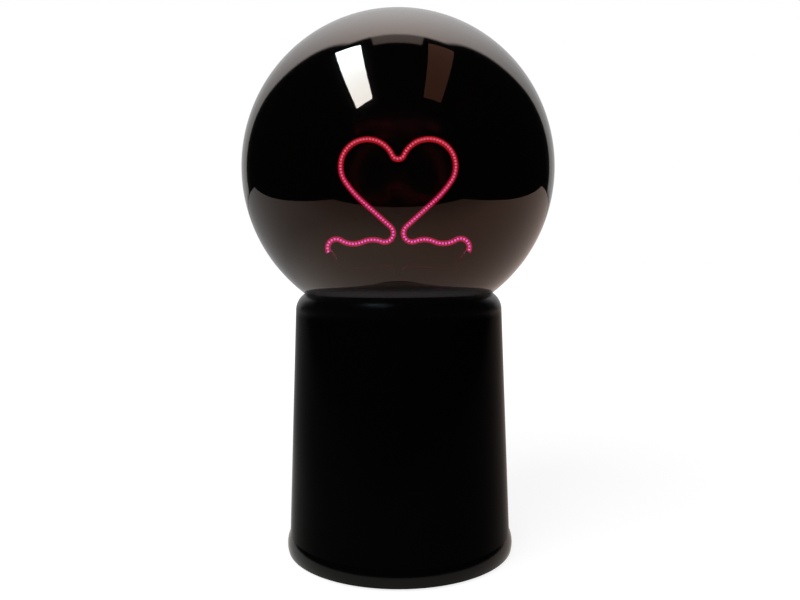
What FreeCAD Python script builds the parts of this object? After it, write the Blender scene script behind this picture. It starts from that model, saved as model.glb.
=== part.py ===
"""Table lamp: a smoked globe bulb with a filament sign, screwed into a lampholder inside a black base.

Millimetres, +Z up. The origin is on the table, under the middle of the base. The front is -Y.
"""
import FreeCAD, Part
import Sketcher
import math
import os
import re

Vector = FreeCAD.Vector

# Driving dimensions: name, number, what it is
SIZES = [
    ("foot_proud", 0.8, "rubber feet stand proud of the base plate"),
    ("foot_radius", 5.0, "rubber foot"),
    ("foot_recess", 1.0, "depth of a foot's recess"),
    ("foot_circle", 36.0, "rubber feet from the axis"),
    ("plate_thickness", 3.0, "floor of the base plate"),
    ("bead_height", 6.7, "underside of the base plate to the housing's lower edge"),
    ("bead_round", 9.0, "radius of the bead's bulge"),
    ("bead_foot_radius", 46.0, "bead at the underside"),
    ("rim_land", 9.7, "width of the base plate's thick rim"),
    ("spigot_height", 3.0, "ring that centres the housing"),
    ("spigot_wall", 2.0, "thickness of that ring"),
    ("wall_foot_radius", 45.2, "housing at its lower edge"),
    ("wall_top_radius", 41.9, "housing where the shoulder starts"),
    ("wall", 2.4, "housing wall"),
    ("shoulder_round", 8.0, "radius of the shoulder"),
    ("rim_radius", 38.6, "crest of the rim round the globe"),
    ("rim_lip", 1.7, "width of the rim's inner slope"),
    ("rim_wall", 3.4, "depth of the rim below its crest"),
    ("fit_gap", 0.3, "clearance between pieces that slide together"),
    ("boss_radius", 3.6, "screw boss in the housing"),
    ("boss_circle", 39.5, "screw bosses from the axis"),
    ("boss_height", 26.0, "length of a screw boss"),
    ("screw_radius", 1.5, "shank of a plate screw"),
    ("screw_length", 16.0, "plate screw under its head"),
    ("screw_head_radius", 2.8, "head of a plate screw"),
    ("screw_head_height", 1.8, "head of a plate screw"),
    ("screw_slot", 0.8, "width of a screw's slot"),
    ("screw_sink", 2.0, "depth of a counterbore"),
    ("screw_gap", 0.1, "clearance round a screw"),
    ("ballast_radius", 33.0, "steel ballast disc"),
    ("ballast_bore", 14.0, "hole in the middle of the ballast"),
    ("ballast_thickness", 5.5, "ballast disc"),
    ("ballast_screw_circle", 22.0, "ballast screws from the axis"),
    ("ballast_screw_length", 6.0, "ballast screw under its head"),
    ("globe_radius", 62.5, "outside of the globe"),
    ("globe_gap", 0.35, "globe to the crest of the rim"),
    ("glass_wall", 1.0, "thickness of the glass"),
    ("neck_radius", 15.6, "glass neck where it enters the cap"),
    ("cap_reach", 20.7, "bulb's button to the end of the neck's hollow curve"),
    ("neck_seat", 4.0, "length of neck held in the cap"),
    ("thread_pitch", 3.63, "screw thread of the bulb cap"),
    ("thread_root", 12.2, "root radius of the cap's thread"),
    ("thread_crest", 13.2, "crest radius of the cap's thread"),
    ("thread_turns", 2.0, "turns of the cap's helical ridge"),
    ("thread_half_root", 0.95, "half width of the ridge at its root"),
    ("thread_half_crest", 0.35, "half width of the ridge at its crest"),
    ("thread_start", 1.6, "start of the ridge above the cap's lower edge"),
    ("cap_wall", 0.8, "thickness of the bulb cap"),
    ("cap_flare_height", 3.5, "flare from the thread to the skirt"),
    ("tip_radius", 4.6, "contact button under the bulb"),
    ("tip_height", 1.5, "contact button"),
    ("swivel_gap", 0.05, "button to the insulator"),
    ("insulator_height", 3.0, "insulator between button and cap"),
    ("bulb_length", 172.0, "bulb from the button to the top of the globe"),
    ("holder_radius", 19.5, "outside of the lampholder"),
    ("holder_wall", 2.0, "wall of the lampholder's cap"),
    ("holder_bore", 15.2, "bore of the lampholder's body"),
    ("holder_reach", 16.0, "top of the lampholder above the bulb's button"),
    ("holder_joint", 4.0, "overlap of the lampholder's body and cap"),
    ("contact_lift", 2.0, "insert's top below the bulb's button"),
    ("insert_boss", 8.5, "height of the insert above its flange"),
    ("insert_flange", 4.0, "thickness of the insert's flange"),
    ("cavity_depth", 7.0, "terminal space in the lampholder's cap"),
    ("cavity_radius", 13.5, "terminal space in the lampholder's cap"),
    ("cap_floor", 4.5, "floor of the lampholder's cap"),
    ("cap_foot_radius", 8.0, "foot of the lampholder's cap"),
    ("dome_inset", 3.5, "start of the cap's dome inside the lampholder's radius"),
    ("dome_rise", 2.5, "start of the cap's dome above its foot"),
    ("dome_height", 10.0, "top of the cap's dome above its foot"),
    ("sleeve_wall", 0.8, "thread sleeve"),
    ("sleeve_gap", 0.3, "thread crest to the sleeve"),
    ("sleeve_lip", 4.6, "width of the sleeve's lower flange"),
    ("nib_radius", 0.4, "pressed nib that runs in the thread"),
    ("nib_reach", 0.9, "nib from the sleeve's inner wall"),
    ("terminal_size", 5.0, "side of a lampholder terminal"),
    ("terminal_offset", 9.5, "terminals from the axis"),
    ("terminal_screw_radius", 1.2, "lampholder terminal screw"),
    ("terminal_head_radius", 1.8, "head of a lampholder terminal screw"),
    ("rivet_radius", 1.0, "contact rivet"),
    ("live_rivet", 8.0, "live rivet from the axis"),
    ("neutral_rivet", 11.0, "neutral rivet from the axis"),
    ("rivet_head", 0.5, "height of a rivet's head"),
    ("tongue_width", 5.0, "centre contact"),
    ("tongue_reach", 4.0, "centre contact past the axis"),
    ("tongue_thickness", 0.8, "centre contact"),
    ("contact_gap", 0.3, "centre contact to the bulb's button"),
    ("nipple_radius", 4.9, "hollow nipple"),
    ("nipple_bore", 3.4, "bore of the nipple"),
    ("nipple_tail", 3.5, "nipple below the bracket"),
    ("nut_height", 3.0, "nut on the nipple"),
    ("nut_flats", 14.0, "nut on the nipple, across its flats"),
    ("bracket_rise", 7.7, "bracket's underside above the ballast"),
    ("bracket_thickness", 2.0, "bracket strip"),
    ("bracket_width", 16.0, "bracket strip"),
    ("bracket_half_span", 22.0, "bracket's legs from the axis"),
    ("bracket_foot", 8.0, "length of a bracket foot"),
    ("bracket_screw_radius", 1.5, "shank of a bracket screw"),
    ("bracket_screw_length", 6.0, "bracket screw under its head"),
    ("switch_height", 52.0, "switch above the table"),
    ("switch_flat", 42.7, "flat seat for the switch, from the axis"),
    ("bezel_width", 10.5, "switch bezel"),
    ("bezel_height", 15.0, "switch bezel"),
    ("bezel_thickness", 1.6, "switch bezel"),
    ("switch_width", 8.3, "switch body in the wall"),
    ("switch_length", 13.0, "switch body in the wall"),
    ("switch_depth", 12.0, "switch body behind the bezel"),
    ("rocker_width", 6.6, "rocker"),
    ("rocker_length", 11.0, "rocker"),
    ("rocker_well", 7.0, "depth of the rocker's well"),
    ("rocker_tilt", 9.0, "rocker to each side, in degrees"),
    ("rocker_pivot", 0.4, "pivot in front of the switch's seat"),
    ("rocker_crown", 1.6, "rocker's ends in front of its pivot"),
    ("rocker_valley", 0.5, "rocker's middle in front of its pivot"),
    ("rocker_belly", 3.6, "rocker behind its pivot"),
    ("pivot_radius", 0.9, "rocker's pivot pins"),
    ("pivot_gap", 0.05, "running clearance of the pivot pins"),
    ("blade_width", 4.8, "switch terminal"),
    ("blade_thickness", 0.8, "switch terminal"),
    ("blade_length", 7.0, "switch terminal"),
    ("blade_pitch", 7.0, "distance between the switch terminals"),
    ("cord_height", 21.0, "cord entry above the table"),
    ("cord_bore", 3.2, "bore of the cord bush"),
    ("bush_radius", 4.6, "cord bush in the wall"),
    ("bush_flange_radius", 7.0, "flange of the cord bush"),
    ("bush_flange", 2.0, "flange of the cord bush"),
    ("bush_flat", 43.6, "flat seat of the bush, from the axis"),
    ("bush_length", 10.0, "cord bush from its flange inwards"),
    ("bush_nut_height", 3.0, "nut of the cord bush"),
    ("bush_nut_flats", 13.0, "nut of the cord bush, across its flats"),
    ("pad_wall", 2.2, "flat inner pad behind a fitting in the wall"),
    ("connector_width", 9.0, "connector block"),
    ("connector_length", 16.0, "connector block"),
    ("connector_height", 12.0, "connector block"),
    ("connector_offset", 11.0, "connector block to the left of the axis"),
    ("connector_front", 15.0, "near end of the connector block"),
    ("connector_axis", 6.0, "connector's wire hole above the base plate"),
    ("connector_hole", 2.6, "wire passage in the connector block"),
    ("barrel_radius", 2.5, "connector barrel"),
    ("barrel_bore", 1.3, "connector barrel"),
    ("barrel_inset", 1.5, "barrel inside the block's ends"),
    ("grip_radius", 1.2, "connector screw"),
    ("grip_inset", 4.0, "connector screws from the block's ends"),
    ("lead_radius", 1.0, "internal lead"),
    ("lead_spacing", 1.3, "leads from the axis in the nipple"),
    ("lead_entry", 4.0, "neutral lead inside the connector"),
    ("live_height", 1.9, "live lead above the ballast"),
    ("board_thickness", 1.6, "driver board"),
    ("board_height", 11.0, "driver board above the button's tip"),
    ("capacitor_radius", 3.0, "capacitor on the driver board"),
    ("capacitor_height", 6.5, "capacitor on the driver board"),
    ("chip_size", 4.0, "chip on the driver board"),
    ("chip_height", 1.6, "chip on the driver board"),
    ("stem_radius", 4.0, "glass stem"),
    ("stem_rise", 13.0, "height of the stem's hollow flare"),
    ("stem_wall", 1.0, "glass of the stem's flare"),
    ("stem_foot", 21.0, "foot of the stem above the button's tip"),
    ("stem_top", 43.5, "top of the stem below the globe's centre"),
    ("wire_radius", 0.45, "support wires"),
    ("wire_spacing", 2.0, "support wires from the axis at the stem"),
    ("wire_rise", 5.0, "straight start of a support wire"),
    ("filament_radius", 1.15, "flexible filament"),
    ("ferrule_radius", 1.5, "filament end ferrule"),
    ("ferrule_length", 4.0, "filament end ferrule"),
    ("sign_drop", 10.0, "middle of the sign below the globe's centre"),
    ("sign_cleft_radius", 2.6, "heart line at the cleft"),
    ("sign_lobe_radius", 11.0, "heart line round a lobe"),
    ("sign_side_radius", 44.0, "heart line along a side"),
    ("sign_flare_radius", 3.6, "heart line where it turns out at the foot"),
    ("sign_wave_radius", 9.6, "waves of a tail"),
    ("sign_curl_radius", 3.6, "curl at the end of a tail"),
    ("sign_strand_gap", 1.8, "gap between the two strands at the heart's foot"),
]

doc = FreeCAD.newDocument("globe_lamp")
sheet = doc.addObject("Spreadsheet::Sheet", "Sizes")
for row, (alias, number, meaning) in enumerate(SIZES, start=1):
    sheet.set(f"A{row}", meaning)
    sheet.set(f"B{row}", str(number))
    sheet.setAlias(f"B{row}", alias)
doc.recompute()
ALIASES = {alias for alias, number, meaning in SIZES}


def bound(expression):
    """The expression with every driving dimension read from the sheet."""
    return re.sub(r"[a-z_]+", lambda word: f"Sizes.{word[0]}" if word[0] in ALIASES else word[0], expression)


def measure(expression):
    """The expression's number."""
    return float(sheet.evalExpression(bound(expression)))


# Levels that follow from the driving dimensions, from the table up to the globe and its rim
PLATE_TOP = "(foot_proud + plate_thickness)"
LEDGE = "(foot_proud + bead_height)"
BALLAST_TOP = f"({PLATE_TOP} + ballast_thickness)"
BRACKET_UNDERSIDE = f"({BALLAST_TOP} + bracket_rise)"
BRACKET_TOP = f"({BRACKET_UNDERSIDE} + bracket_thickness)"
CAVITY_FLOOR = f"({BRACKET_TOP} + cap_floor)"
FLANGE_BOTTOM = f"({CAVITY_FLOOR} + cavity_depth)"
FLANGE_TOP = f"({FLANGE_BOTTOM} + insert_flange)"
HOLDER_CAP_TOP = f"({FLANGE_TOP} + holder_joint)"
INSERT_TOP = f"({FLANGE_TOP} + insert_boss)"
TIP = f"({INSERT_TOP} + contact_lift)"
HOLDER_TOP = f"({TIP} + holder_reach)"
CAP = f"({TIP} + tip_height + insulator_height)"
NECK = f"({TIP} + cap_reach)"
GLOBE = f"({TIP} + bulb_length - globe_radius)"
RIM = f"({GLOBE} - sqrt((globe_radius + globe_gap)^2 - rim_radius^2))"
LIP = f"({GLOBE} - sqrt((globe_radius + globe_gap)^2 - (rim_radius - rim_lip)^2))"
SHOULDER = f"({RIM} - sqrt(shoulder_round^2 - (rim_radius - wall_top_radius + shoulder_round)^2))"

# The neck's hollow curve, tangent to the globe and to the neck's end
NECK_DROP = "(bulb_length - globe_radius - cap_reach)"
NECK_ROUND = f"((neck_radius^2 + {NECK_DROP}^2 - globe_radius^2) / (2 * (globe_radius - neck_radius)))"

AXES = {
    "x": FreeCAD.Rotation(Vector(0, 1, 0), 90),
    "y": FreeCAD.Rotation(Vector(1, 0, 0), -90),
    "z": FreeCAD.Rotation(),
}


def place(thing, x, y, z):
    """Put the thing at a point given by expressions."""
    for axis, expression in zip("xyz", (x, y, z)):
        thing.setExpression(f"Placement.Base.{axis}", bound(expression))
    return thing


def cylinder(name, radius, length, x="0", y="0", z="0", along="z"):
    """A cylinder from a point along one of the axes."""
    thing = doc.addObject("Part::Cylinder", name)
    thing.setExpression("Radius", bound(radius))
    thing.setExpression("Height", bound(length))
    thing.Placement.Rotation = AXES[along]
    return place(thing, x, y, z)


def block(name, width, depth, height, x="0", y="0", z="0"):
    """A box centred on x, reaching from y and from z."""
    thing = doc.addObject("Part::Box", name)
    thing.setExpression("Length", bound(width))
    thing.setExpression("Width", bound(depth))
    thing.setExpression("Height", bound(height))
    return place(thing, f"{x} - ({width}) / 2", y, z)


def hexagon(name, flats, height, x="0", y="0", z="0", along="z"):
    """A six-sided prism by its size across the flats."""
    thing = doc.addObject("Part::Prism", name)
    thing.Polygon = 6
    thing.setExpression("Circumradius", bound(f"{flats} / sqrt(3)"))
    thing.setExpression("Height", bound(height))
    thing.Placement.Rotation = AXES[along]
    return place(thing, x, y, z)


def fuse(name, pieces):
    """One solid out of several."""
    thing = doc.addObject("Part::MultiFuse", name)
    thing.Shapes = pieces
    return thing


def cut(name, base, tools):
    """The base less the tools."""
    thing = doc.addObject("Part::Cut", name)
    thing.Base = base
    thing.Tool = tools[0] if len(tools) == 1 else fuse(f"{name}_tools", tools)
    return thing


def group(name, pieces):
    """Separate solids of one kind."""
    thing = doc.addObject("Part::Compound", name)
    thing.Links = pieces
    return thing


def draw_outline(body, name, role, corners):
    """A closed sketch through corners (across, up, arc), each a text of dimensions.

    The arc, where there is one, is the radius of an arc that ends at its corner. It turns left, or right
    where the text starts with a minus sign.
    """
    sketch = body.newObject("Sketcher::SketchObject", name)
    plane = next(feature for feature in body.Origin.OriginFeatures if feature.Role == role)
    sketch.AttachmentSupport = [(plane, "")]
    sketch.MapMode = "FlatFace"
    points = [Vector(measure(corner[0]), measure(corner[1]), 0) for corner in corners]
    start_points = []
    end_points = []
    for index, corner in enumerate(corners):
        start = points[index - 1]
        end = points[index]
        turns_right = len(corner) == 3 and corner[2].startswith("-")
        start_points.append(2 if turns_right else 1)
        end_points.append(1 if turns_right else 2)
        if len(corner) == 2:
            sketch.addGeometry(Part.LineSegment(start, end))
            continue
        if turns_right:
            start, end = end, start
        radius_text = corner[2].lstrip("-")
        radius = measure(radius_text)
        chord = end - start
        left = Vector(-chord.y, chord.x, 0).normalize()
        centre = (start + end) / 2 + left * math.sqrt(radius ** 2 - (chord.Length / 2) ** 2)
        angles = [math.atan2(point.y - centre.y, point.x - centre.x) for point in (start, end)]
        sketch.addGeometry(Part.ArcOfCircle(Part.Circle(centre, Vector(0, 0, 1), radius), *angles))
        number = sketch.addConstraint(Sketcher.Constraint("Radius", index, radius))
        sketch.setExpression(f"Constraints[{number}]", bound(radius_text))
    for index, corner in enumerate(corners):
        following = (index + 1) % len(corners)
        end = end_points[index]
        start = start_points[following]
        sketch.addConstraint(Sketcher.Constraint("Coincident", index, end, following, start))
        for kind, axis, expression in (("DistanceX", -2, corner[0]), ("DistanceY", -1, corner[1])):
            if expression == "0":
                sketch.addConstraint(Sketcher.Constraint("PointOnObject", index, end, axis))
                continue
            number = sketch.addConstraint(Sketcher.Constraint(kind, -1, 1, index, end, measure(expression)))
            sketch.setExpression(f"Constraints[{number}]", bound(expression))
    return sketch


def turned(name, corners):
    """A body turned about the Z axis from an outline of radius and height."""
    body = doc.addObject("PartDesign::Body", name)
    sketch = draw_outline(body, f"{name}_outline", "XZ_Plane", corners)
    turn = body.newObject("PartDesign::Revolution", f"{name}_turn")
    turn.Profile = sketch
    turn.ReferenceAxis = (sketch, ["V_Axis"])
    turn.Angle = 360
    return body


def strip(name, role, corners, width):
    """A body padded to both sides of an origin plane."""
    body = doc.addObject("PartDesign::Body", name)
    sketch = draw_outline(body, f"{name}_outline", role, corners)
    pad = body.newObject("PartDesign::Pad", f"{name}_pad")
    pad.Profile = sketch
    pad.SideType = "Symmetric"
    pad.setExpression("Length", bound(width))
    return body


def on_circle(radius, angle):
    """The x and y texts of a point on a circle about the axis."""
    return f"{radius} * cos({angle} deg)", f"{radius} * sin({angle} deg)"


def pipe(name, edges, radius):
    """A round rod along tangent edges; its volume has to be its section times its length."""
    path = Part.Wire(edges)
    start = edges[0].valueAt(edges[0].FirstParameter)
    tangent = edges[0].tangentAt(edges[0].FirstParameter)
    section = Part.Wire(Part.makeCircle(radius, start, tangent))
    rod = path.makePipeShell([section], True, False)
    expected = math.pi * radius ** 2 * path.Length
    print(f"{name}: length {path.Length:.2f}, volume over section times length {rod.Volume / expected:.4f}")
    return rod


BEND_SHARE = 0.45


def route(name, points, radius):
    """A lead along straight runs, each corner with the largest arc that its two runs allow."""
    edges = []
    start = points[0]
    radii = []
    for before, corner, after in zip(points, points[1:], points[2:]):
        towards = (before - corner).normalize()
        onwards = (after - corner).normalize()
        half_turn = (math.pi - towards.getAngle(onwards)) / 2
        reach = BEND_SHARE * min((before - corner).Length, (after - corner).Length)
        bend = reach / math.tan(half_turn)
        inwards = (towards + onwards).normalize()
        middle = corner + inwards * (bend / math.cos(half_turn) - bend)
        edges.append(Part.LineSegment(start, corner + towards * reach).toShape())
        edges.append(Part.Arc(corner + towards * reach, middle, corner + onwards * reach).toShape())
        start = corner + onwards * reach
        radii.append(f"{bend:.1f}")
    edges.append(Part.LineSegment(start, points[-1]).toShape())
    print(f"{name}: bend radii {', '.join(radii)}")
    return pipe(name, edges, radius)


def solid(name, shape):
    """A sub-part whose shape is made above."""
    thing = doc.addObject("Part::Feature", name)
    thing.Shape = shape
    return thing


def spot(x, y, z):
    """A point from three texts of dimensions."""
    return Vector(measure(x), measure(y), measure(z))


# Base
QUARTERS = (45, 135, 225, 315)
FEET = (0, 90, 180, 270)
BALLAST_SCREWS = (45, 225)
PLATE_SCREW_POINTS = [on_circle("boss_circle", angle) for angle in QUARTERS]
BALLAST_SCREW_POINTS = [on_circle("ballast_screw_circle", angle) for angle in BALLAST_SCREWS]
SINK_TOP = "(foot_proud + screw_sink)"


def base_housing():
    """Tapered shell with a rounded shoulder, screw bosses, and flat seats for switch and cord bush."""
    shell = turned("housing_shell", [
        ("wall_foot_radius", LEDGE),
        ("wall_top_radius", SHOULDER),
        ("rim_radius", RIM, "shoulder_round"),
        ("rim_radius - rim_lip", LIP),
        ("rim_radius - rim_lip", f"{RIM} - rim_wall"),
        ("wall_top_radius - wall", SHOULDER),
        ("wall_foot_radius - wall", LEDGE),
    ])
    solids = [shell]
    tools = []
    bore_depth = f"{SINK_TOP} + screw_length - {LEDGE} + fit_gap"
    for number, (x, y) in enumerate(PLATE_SCREW_POINTS):
        solids.append(cylinder(f"boss_{number}", "boss_radius", "boss_height", x, y, LEDGE))
        tools.append(cylinder(f"boss_bore_{number}", "screw_radius + screw_gap", bore_depth, x, y, LEDGE))
    switch_foot = "switch_height - bezel_height / 2"
    solids.append(block("switch_pad", "bezel_width", "pad_wall - fit_gap", "bezel_height",
                        "0", "switch_flat - pad_wall", switch_foot))
    solids.append(cylinder("bush_pad", "bush_flange_radius", "pad_wall - fit_gap",
                           "0", "bush_flat - pad_wall", "cord_height", "y"))
    tools.append(block("switch_seat", "bezel_width + 2 * fit_gap", "wall_foot_radius - switch_flat",
                       "bezel_height + 2 * fit_gap", "0", "switch_flat", f"{switch_foot} - fit_gap"))
    tools.append(block("switch_cutout", "switch_width + fit_gap", "2 * pad_wall + 2 * wall",
                       "switch_length + fit_gap", "0", "switch_flat - 2 * pad_wall",
                       "switch_height - (switch_length + fit_gap) / 2"))
    tools.append(cylinder("bush_seat", "bush_flange_radius + fit_gap", "wall_foot_radius - bush_flat",
                          "0", "bush_flat", "cord_height", "y"))
    tools.append(cylinder("bush_hole", "bush_radius + screw_gap", "2 * pad_wall + 2 * wall",
                          "0", "bush_flat - 2 * pad_wall", "cord_height", "y"))
    return cut("housing", fuse("housing_solid", solids), tools)


def base_plate():
    """Plate that closes the base from below; its rim is the bead at the foot."""
    spigot = "(wall_foot_radius - wall - fit_gap)"
    plate = turned("plate_turned", [
        ("0", "foot_proud"),
        ("bead_foot_radius", "foot_proud"),
        ("wall_foot_radius", LEDGE, "bead_round"),
        (spigot, LEDGE),
        (spigot, f"{LEDGE} + spigot_height"),
        (f"{spigot} - spigot_wall", f"{LEDGE} + spigot_height"),
        (f"{spigot} - spigot_wall", LEDGE),
        ("wall_foot_radius - rim_land", LEDGE),
        ("wall_foot_radius - rim_land", PLATE_TOP),
        ("0", PLATE_TOP),
    ])
    tools = []
    for number, (x, y) in enumerate(PLATE_SCREW_POINTS):
        tools.append(cylinder(f"boss_relief_{number}", "boss_radius + fit_gap", "2 * spigot_height",
                              x, y, LEDGE))
    for number, (x, y) in enumerate(PLATE_SCREW_POINTS + BALLAST_SCREW_POINTS):
        tools.append(cylinder(f"plate_hole_{number}", "screw_radius + screw_gap", LEDGE, x, y))
        tools.append(cylinder(f"plate_sink_{number}", "screw_head_radius + screw_gap", SINK_TOP, x, y))
    for angle in FEET:
        x, y = on_circle("foot_circle", angle)
        tools.append(cylinder(f"foot_recess_{angle}", "foot_radius + screw_gap",
                              "foot_proud + foot_recess", x, y))
    return cut("plate", plate, tools)


def sunk_screw(name, x, y, length):
    """Pan-head screw driven upwards from a counterbore."""
    foot = f"({SINK_TOP} - screw_head_height)"
    head = cylinder(f"{name}_head", "screw_head_radius", "screw_head_height", x, y, foot)
    shank = cylinder(f"{name}_shank", "screw_radius", length, x, y, SINK_TOP)
    slot = block(f"{name}_slot", "2 * screw_head_radius", "screw_slot", "screw_head_height / 2",
                 x, f"{y} - screw_slot / 2", foot)
    return cut(name, fuse(f"{name}_blank", [head, shank]), [slot])


def plate_screws():
    """The four screws that hold the base plate to the housing."""
    return group("plate_screw_set", [sunk_screw(f"plate_screw_{number}", x, y, "screw_length")
                                     for number, (x, y) in enumerate(PLATE_SCREW_POINTS)])


def ballast_screws():
    """The two screws that hold the ballast to the base plate."""
    length = "ballast_screw_length - screw_gap"
    return group("ballast_screw_set", [sunk_screw(f"ballast_screw_{number}", x, y, length)
                                       for number, (x, y) in enumerate(BALLAST_SCREW_POINTS)])


def rubber_feet():
    """Four feet in their recesses."""
    return group("foot_set", [cylinder(f"foot_{angle}", "foot_radius", "foot_proud + foot_recess",
                                       *on_circle("foot_circle", angle)) for angle in FEET])


BRACKET_SCREW_X = "(bracket_half_span + bracket_foot / 2)"
SIDES = (("left", "-"), ("right", ""))


def ballast():
    """Steel disc with a middle hole, a slot for the connector block, and tapped holes."""
    disc = cylinder("ballast_disc", "ballast_radius", "ballast_thickness", z=PLATE_TOP)
    tools = [
        cylinder("ballast_middle", "ballast_bore", "2 * ballast_thickness", z=PLATE_TOP),
        block("ballast_slot", "connector_width + 2 * fit_gap", "2 * ballast_radius", "2 * ballast_thickness",
              "-connector_offset", "0", PLATE_TOP),
    ]
    for number, (x, y) in enumerate(BALLAST_SCREW_POINTS):
        depth = f"ballast_screw_length - {PLATE_TOP} + {SINK_TOP}"
        tools.append(cylinder(f"ballast_hole_{number}", "screw_radius + screw_gap", depth, x, y, PLATE_TOP))
    for side, sign in SIDES:
        depth = "(bracket_screw_length - bracket_thickness)"
        tools.append(cylinder(f"bracket_tap_{side}", "bracket_screw_radius + screw_gap", depth,
                              f"{sign}{BRACKET_SCREW_X}", "0", f"{BALLAST_TOP} - {depth}"))
    return cut("ballast_cut", disc, tools)


def holder_bracket():
    """Bent steel strip that carries the lampholder over the ballast."""
    foot_end = "(bracket_half_span + bracket_foot)"
    inner = "(bracket_half_span - bracket_thickness)"
    foot_top = f"({BALLAST_TOP} + bracket_thickness)"
    bridge = strip("bracket_strip", "XZ_Plane", [
        (f"-{foot_end}", BALLAST_TOP), (f"-{inner}", BALLAST_TOP),
        (f"-{inner}", BRACKET_UNDERSIDE), (inner, BRACKET_UNDERSIDE),
        (inner, BALLAST_TOP), (foot_end, BALLAST_TOP),
        (foot_end, foot_top), ("bracket_half_span", foot_top),
        ("bracket_half_span", BRACKET_TOP), ("-bracket_half_span", BRACKET_TOP),
        ("-bracket_half_span", foot_top), (f"-{foot_end}", foot_top),
    ], "bracket_width")
    tools = [cylinder("bracket_hole", "nipple_radius + screw_gap", "2 * bracket_thickness",
                      z=f"{BRACKET_UNDERSIDE} - bracket_thickness / 2")]
    for side, sign in SIDES:
        tools.append(cylinder(f"bracket_foot_hole_{side}", "bracket_screw_radius + screw_gap",
                              "2 * bracket_thickness", f"{sign}{BRACKET_SCREW_X}", "0",
                              f"{BALLAST_TOP} - bracket_thickness / 2"))
    return cut("bracket", bridge, tools)


def bracket_screws():
    """Two screws through the bracket's feet into the ballast."""
    screws = []
    for side, sign in SIDES:
        x = f"{sign}{BRACKET_SCREW_X}"
        top = f"{BALLAST_TOP} + bracket_thickness"
        head = cylinder(f"bracket_head_{side}", "screw_head_radius", "screw_head_height", x, "0", top)
        shank = cylinder(f"bracket_shank_{side}", "bracket_screw_radius", "bracket_screw_length - screw_gap",
                         x, "0", f"{top} - bracket_screw_length + screw_gap")
        screws.append(fuse(f"bracket_screw_{side}", [head, shank]))
    return group("bracket_screw_set", screws)


def bracket_nipple():
    """Hollow nipple between the bracket and the lampholder's cap; the leads pass through it."""
    foot = f"({BRACKET_UNDERSIDE} - nipple_tail)"
    tube = cylinder("nipple_rod", "nipple_radius", f"{CAVITY_FLOOR} - {foot}", z=foot)
    bore = cylinder("nipple_hole", "nipple_bore", f"{CAVITY_FLOOR} - {foot}", z=foot)
    return cut("nipple", tube, [bore])


def nipple_nut():
    """Nut that clamps the nipple under the bracket."""
    foot = f"({BRACKET_UNDERSIDE} - nut_height)"
    blank = hexagon("nut_blank", "nut_flats", "nut_height", z=foot)
    bore = cylinder("nut_bore", "nipple_radius + pivot_gap", "nut_height", z=foot)
    return cut("nut", blank, [bore])


# Lampholder
def holder_cap():
    """Domed lower half of the lampholder, on the nipple."""
    bore = "(nipple_radius + pivot_gap)"
    return turned("holder_cap_turned", [
        (bore, BRACKET_TOP),
        ("cap_foot_radius", BRACKET_TOP),
        ("holder_radius - dome_inset", f"{BRACKET_TOP} + dome_rise"),
        ("holder_radius", f"{BRACKET_TOP} + dome_height"),
        ("holder_radius", HOLDER_CAP_TOP),
        ("holder_radius - holder_wall", HOLDER_CAP_TOP),
        ("holder_radius - holder_wall", FLANGE_BOTTOM),
        ("cavity_radius", FLANGE_BOTTOM),
        ("cavity_radius", CAVITY_FLOOR),
        (bore, CAVITY_FLOOR),
    ])


def holder_body():
    """Upper half of the lampholder, round the thread sleeve."""
    spigot = "(holder_radius - holder_wall - screw_gap)"
    return turned("holder_body_turned", [
        ("holder_bore", FLANGE_TOP),
        (spigot, FLANGE_TOP),
        (spigot, HOLDER_CAP_TOP),
        ("holder_radius", HOLDER_CAP_TOP),
        ("holder_radius", HOLDER_TOP),
        ("holder_bore", HOLDER_TOP),
    ])


RIVETS = (("live", "live_rivet", "tongue_thickness"), ("neutral", "-neutral_rivet", "sleeve_wall"))


def holder_insert():
    """Insulating insert between the two halves; the rivets pass through it."""
    flange = "(holder_radius - holder_wall - fit_gap)"
    boss = "(holder_bore - fit_gap)"
    body = turned("insert_turned", [
        ("0", FLANGE_BOTTOM), (flange, FLANGE_BOTTOM), (flange, FLANGE_TOP),
        (boss, FLANGE_TOP), (boss, INSERT_TOP), ("0", INSERT_TOP),
    ])
    return cut("insert", body, [
        cylinder(f"insert_hole_{name}", "rivet_radius + pivot_gap", f"{INSERT_TOP} - {FLANGE_BOTTOM}",
                 x, "0", FLANGE_BOTTOM) for name, x, thickness in RIVETS])


SLEEVE_BORE = "(thread_crest + sleeve_gap)"
THREAD_FOOT = f"({CAP} + thread_start)"


def thread_sleeve():
    """Brass sleeve with two pressed nibs that run in the bulb's thread."""
    outside = f"({SLEEVE_BORE} + sleeve_wall)"
    top = f"({HOLDER_TOP} - sleeve_wall)"
    shell = turned("sleeve_turned", [
        (f"{outside} - sleeve_lip", INSERT_TOP), (outside, INSERT_TOP), (outside, top),
        (SLEEVE_BORE, top), (SLEEVE_BORE, f"{INSERT_TOP} + sleeve_wall"),
        (f"{outside} - sleeve_lip", f"{INSERT_TOP} + sleeve_wall"),
    ])
    reach = "(nib_reach + sleeve_wall / 2)"
    back = cylinder("nib_back", "nib_radius", reach, "0", f"{SLEEVE_BORE} - nib_reach",
                    f"{THREAD_FOOT} + thread_pitch * 3 / 4", "y")
    front = cylinder("nib_front", "nib_radius", reach, "0", f"-{SLEEVE_BORE} - sleeve_wall / 2",
                     f"{THREAD_FOOT} + thread_pitch * 5 / 4", "y")
    hole = cylinder("sleeve_hole", "rivet_radius + pivot_gap", "2 * sleeve_wall", "-neutral_rivet", "0",
                    f"{INSERT_TOP} - sleeve_wall / 2")
    return cut("sleeve", fuse("sleeve_solid", [shell, back, front]), [hole])


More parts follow.
